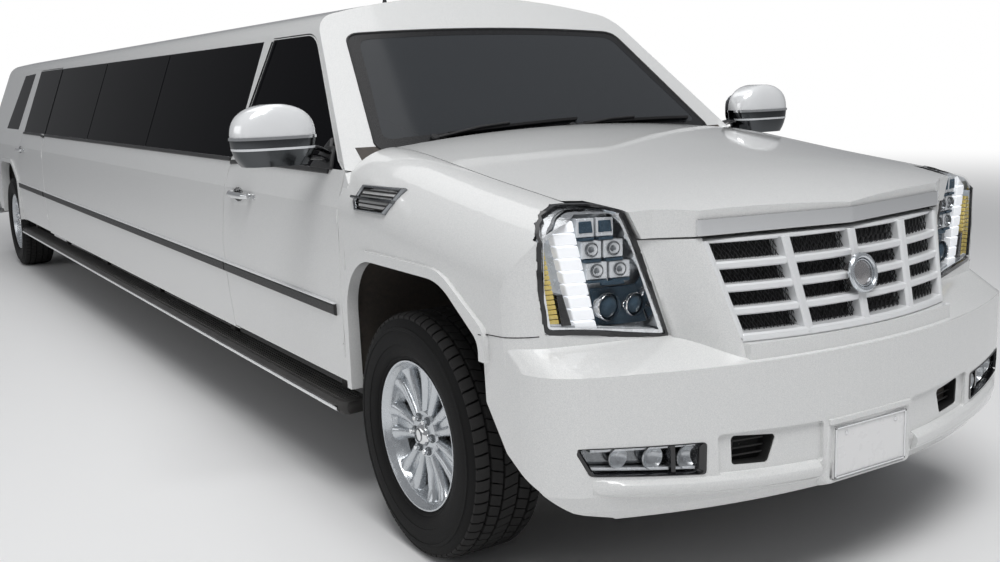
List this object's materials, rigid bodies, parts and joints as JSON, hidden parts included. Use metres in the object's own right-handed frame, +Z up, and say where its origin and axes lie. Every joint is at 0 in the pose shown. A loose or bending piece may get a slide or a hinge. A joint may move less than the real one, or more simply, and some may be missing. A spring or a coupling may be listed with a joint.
{
  "type": "stretch limousine",
  "caption": "Long-wheelbase sport-utility limousine, white, with dark side glass, bright grille, hinged doors, hood and tailgate, steered and rolling wheels.",
  "frame": {"origin": "on the ground, at the middle of the overall length and width", "axes": "+X forward along the car, +Y to its left, +Z up"},
  "size_m": [10.021, 2.524, 1.9449],
  "materials": {
    "paint": "pearl white gloss paint",
    "dark_glass": "privacy glass, nearly black",
    "screen_glass": "tinted glass",
    "clear_lens": "clear lamp lens",
    "red_lens": "red lamp lens",
    "bright_chrome": "polished chrome",
    "black_plastic": "moulded black plastic",
    "cabin_plastic": "grained dark plastic",
    "seat_leather": "black leather",
    "chassis_black": "satin black underbody paint",
    "cast_steel": "cast and forged steel",
    "exhaust_steel": "dull stainless tube",
    "plate_white": "blank white plate",
    "tyre_rubber": "black rubber"
  },
  "bodies": {
    "body": {"antenna": "black_plastic", "body_side_left": "paint", "body_side_right": "paint", "chassis_rails": "chassis_black", "cross_members": "chassis_black", "dashboard": "cabin_plastic", "drive_shaft": "cast_steel", "engine_block": "cast_steel", "exhaust": "exhaust_steel", "firewall": "chassis_black", "floor_pan": "chassis_black", "fog_lamps": "clear_lens", "front_bumper": "paint", "front_fenders": "paint", "front_seats": "seat_leather", "front_suspension": "cast_steel", "fuel_tank": "black_plastic", "grille": "bright_chrome", "headlamp_housings": "black_plastic", "headlamp_lenses": "clear_lens", "licence_plate": "plate_white", "lounge_bench": "seat_leather", "nose_panel": "paint", "radiator": "cast_steel", "rear_axle": "cast_steel", "rear_bumper": "paint", "roof_panel": "paint", "running_boards": "black_plastic", "side_glass": "dark_glass", "steering_wheel": "cabin_plastic", "tail_lamps": "red_lens", "wheel_housings": "chassis_black", "windscreen": "screen_glass"},
    "hood_lid": {"hood": "paint", "grille_header": "bright_chrome"},
    "tailgate_lid": {"tailgate": "paint", "tailgate_glass": "dark_glass"},
    "front_door_leaf_left": {"front_door_left": "paint", "front_door_glass_left": "dark_glass", "mirror_left": "bright_chrome"},
    "rear_door_leaf_left": {"rear_door_left": "paint", "rear_door_glass_left": "dark_glass"},
    "steered_left": {"knuckle_left": "cast_steel"},
    "road_wheel_front_left": {"wheel_front_left": "bright_chrome", "tyre_front_left": "tyre_rubber"},
    "road_wheel_rear_left": {"wheel_rear_left": "bright_chrome", "tyre_rear_left": "tyre_rubber"},
    "front_door_leaf_right": {"front_door_right": "paint", "front_door_glass_right": "dark_glass", "mirror_right": "bright_chrome"},
    "rear_door_leaf_right": {"rear_door_right": "paint", "rear_door_glass_right": "dark_glass"},
    "steered_right": {"knuckle_right": "cast_steel"},
    "road_wheel_front_right": {"wheel_front_right": "bright_chrome", "tyre_front_right": "tyre_rubber"},
    "road_wheel_rear_right": {"wheel_rear_right": "bright_chrome", "tyre_rear_right": "tyre_rubber"}
  },
  "joints": [
    {"name": "hood_hinge", "type": "hinge", "parent": "body", "child": "hood_lid", "pos_m": [3.5535, 0, 1.283], "axis": [0, -1, 0], "range_deg": [0, 48]},
    {"name": "tailgate_hinge", "type": "hinge", "parent": "body", "child": "tailgate_lid", "pos_m": [-4.7816, 0, 1.7305], "axis": [0, 1, 0], "range_deg": [0, 85]},
    {"name": "front_door_left_hinge", "type": "hinge", "parent": "body", "child": "front_door_leaf_left", "pos_m": [3.5055, 0.982, 0.9], "axis": [0, 0, -1], "range_deg": [0, 65]},
    {"name": "rear_door_left_hinge", "type": "hinge", "parent": "body", "child": "rear_door_leaf_left", "pos_m": [-2.1205, 0.982, 0.9], "axis": [0, 0, -1], "range_deg": [0, 65]},
    {"name": "steering_left", "type": "hinge", "parent": "body", "child": "steered_left", "pos_m": [4.0155, 0.79, 0.401], "axis": [0, 0, 1], "range_deg": [-32, 32]},
    {"name": "wheel_front_left_spin", "type": "hinge", "parent": "steered_left", "child": "road_wheel_front_left", "pos_m": [4.0155, 0.866, 0.401], "axis": [0, 1, 0], "continuous": true},
    {"name": "wheel_rear_left_spin", "type": "hinge", "parent": "body", "child": "road_wheel_rear_left", "pos_m": [-3.8105, 0.851, 0.401], "axis": [0, 1, 0], "continuous": true},
    {"name": "front_door_right_hinge", "type": "hinge", "parent": "body", "child": "front_door_leaf_right", "pos_m": [3.5055, -0.982, 0.9], "axis": [0, 0, 1], "range_deg": [0, 65]},
    {"name": "rear_door_right_hinge", "type": "hinge", "parent": "body", "child": "rear_door_leaf_right", "pos_m": [-2.1205, -0.982, 0.9], "axis": [0, 0, 1], "range_deg": [0, 65]},
    {"name": "steering_right", "type": "hinge", "parent": "body", "child": "steered_right", "pos_m": [4.0155, -0.79, 0.401], "axis": [0, 0, 1], "range_deg": [-32, 32]},
    {"name": "wheel_front_right_spin", "type": "hinge", "parent": "steered_right", "child": "road_wheel_front_right", "pos_m": [4.0155, -0.866, 0.401], "axis": [0, 1, 0], "continuous": true},
    {"name": "wheel_rear_right_spin", "type": "hinge", "parent": "body", "child": "road_wheel_rear_right", "pos_m": [-3.8105, -0.851, 0.401], "axis": [0, 1, 0], "continuous": true}
  ],
  "couplings": [
    {"joint": "steering_left", "follows": "steering_right", "ratio": 1}
  ]
}
